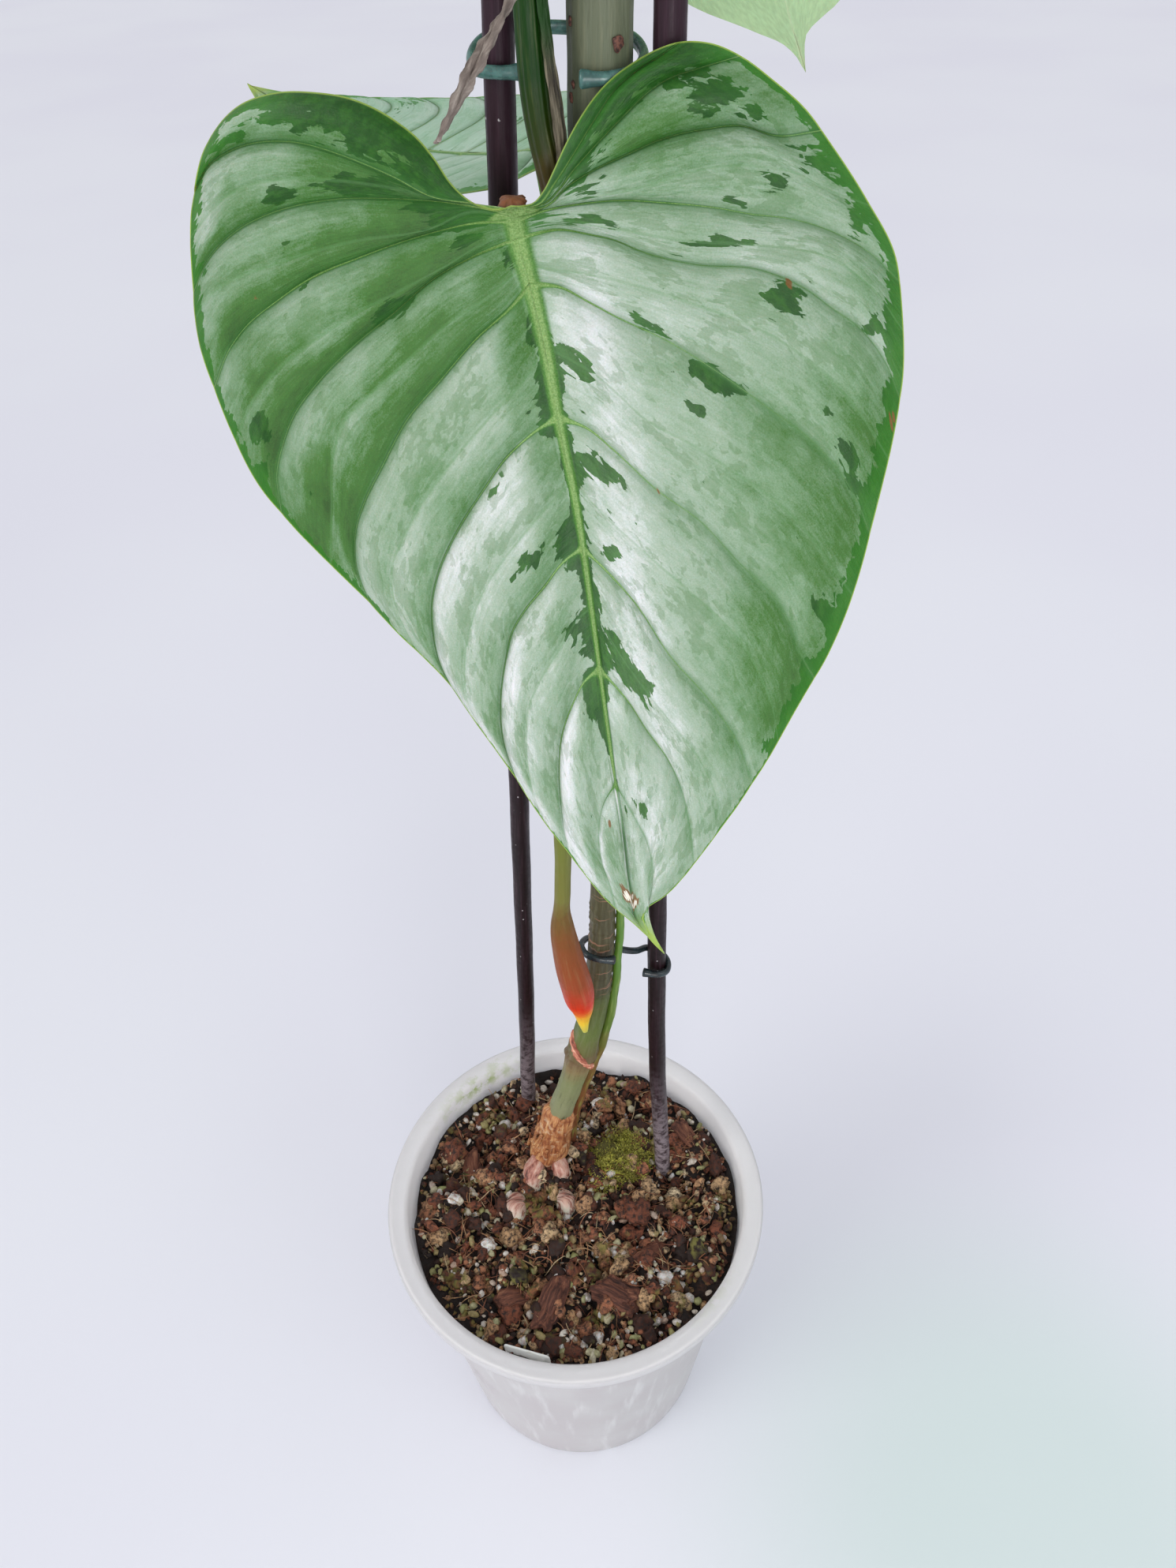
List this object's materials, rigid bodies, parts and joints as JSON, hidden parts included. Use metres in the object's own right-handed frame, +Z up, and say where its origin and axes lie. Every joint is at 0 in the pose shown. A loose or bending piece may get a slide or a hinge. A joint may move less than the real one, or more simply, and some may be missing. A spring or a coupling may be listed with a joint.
{
  "type": "potted philodendron sodiroi",
  "caption": "Potted climbing philodendron with silvery heart-shaped leaves on long stalks, clipped to upright stakes in a flat-based frosted nursery pot of potting mix.",
  "frame": {"origin": "centre of the pot's base, in the plane that the pot stands on", "axes": "+Z up along the pot's axis; -Y towards the side that the front leaf faces; +X to the right as seen from there"},
  "size_m": [0.1386, 0.2185, 0.5368],
  "materials": {
    "pot_plastic": "frosted, milky, slightly translucent",
    "potting_mix": "loose, fibrous and crumbly",
    "label_plastic": "satin white",
    "stake_plastic": "satin skin over a steel tube, dusty at the foot",
    "clip_teal_plastic": "glossy and slightly translucent",
    "clip_dark_plastic": "glossy",
    "stem_skin": "satin, mottled and ringed at the nodes",
    "bud_skin": "satin",
    "papery_sheath": "dry and papery",
    "clinging_root_skin": "satin, green above and brown below",
    "stub_root_skin": "satin, pink and cream",
    "petiole_front_skin": "satin, olive above and orange below",
    "petiole_back_skin": "satin",
    "petiole_upper_skin": "satin, ridged",
    "leaf_front_blade": "satin, silvery between the veins with dark green patches",
    "leaf_back_blade": "satin, pale and silvery",
    "leaf_upper_blade": "matte pale underside, satin upper side",
    "dried_sheath_skin": "dry and shrivelled",
    "bark": "rough",
    "perlite": "matte and pitted",
    "moss": "soft and tufted"
  },
  "bodies": {
    "root": {"pot": "pot_plastic", "potting_mix": "potting_mix", "plant_label": "label_plastic", "stake_left": "stake_plastic", "stake_right": "stake_plastic", "clip_upper": "clip_teal_plastic", "clip_lower": "clip_dark_plastic", "stem": "stem_skin", "rolled_new_leaf": "bud_skin", "base_sheath": "papery_sheath", "clinging_root": "clinging_root_skin", "stub_root_1": "stub_root_skin", "stub_root_2": "stub_root_skin", "stub_root_3": "stub_root_skin", "stub_root_4": "stub_root_skin", "petiole_front": "petiole_front_skin", "petiole_back": "petiole_back_skin", "petiole_upper": "petiole_upper_skin", "leaf_front": "leaf_front_blade", "leaf_back": "leaf_back_blade", "leaf_upper": "leaf_upper_blade", "dried_sheath": "dried_sheath_skin", "bark_chip_1": "bark", "bark_chip_2": "bark", "bark_chip_3": "bark", "bark_chip_4": "bark", "bark_chip_5": "bark", "bark_chip_6": "bark", "perlite_1": "perlite", "perlite_2": "perlite", "perlite_3": "perlite", "perlite_4": "perlite", "perlite_5": "perlite", "perlite_6": "perlite", "perlite_7": "perlite", "perlite_8": "perlite", "moss_cushion": "moss"}
  },
  "joints": []
}
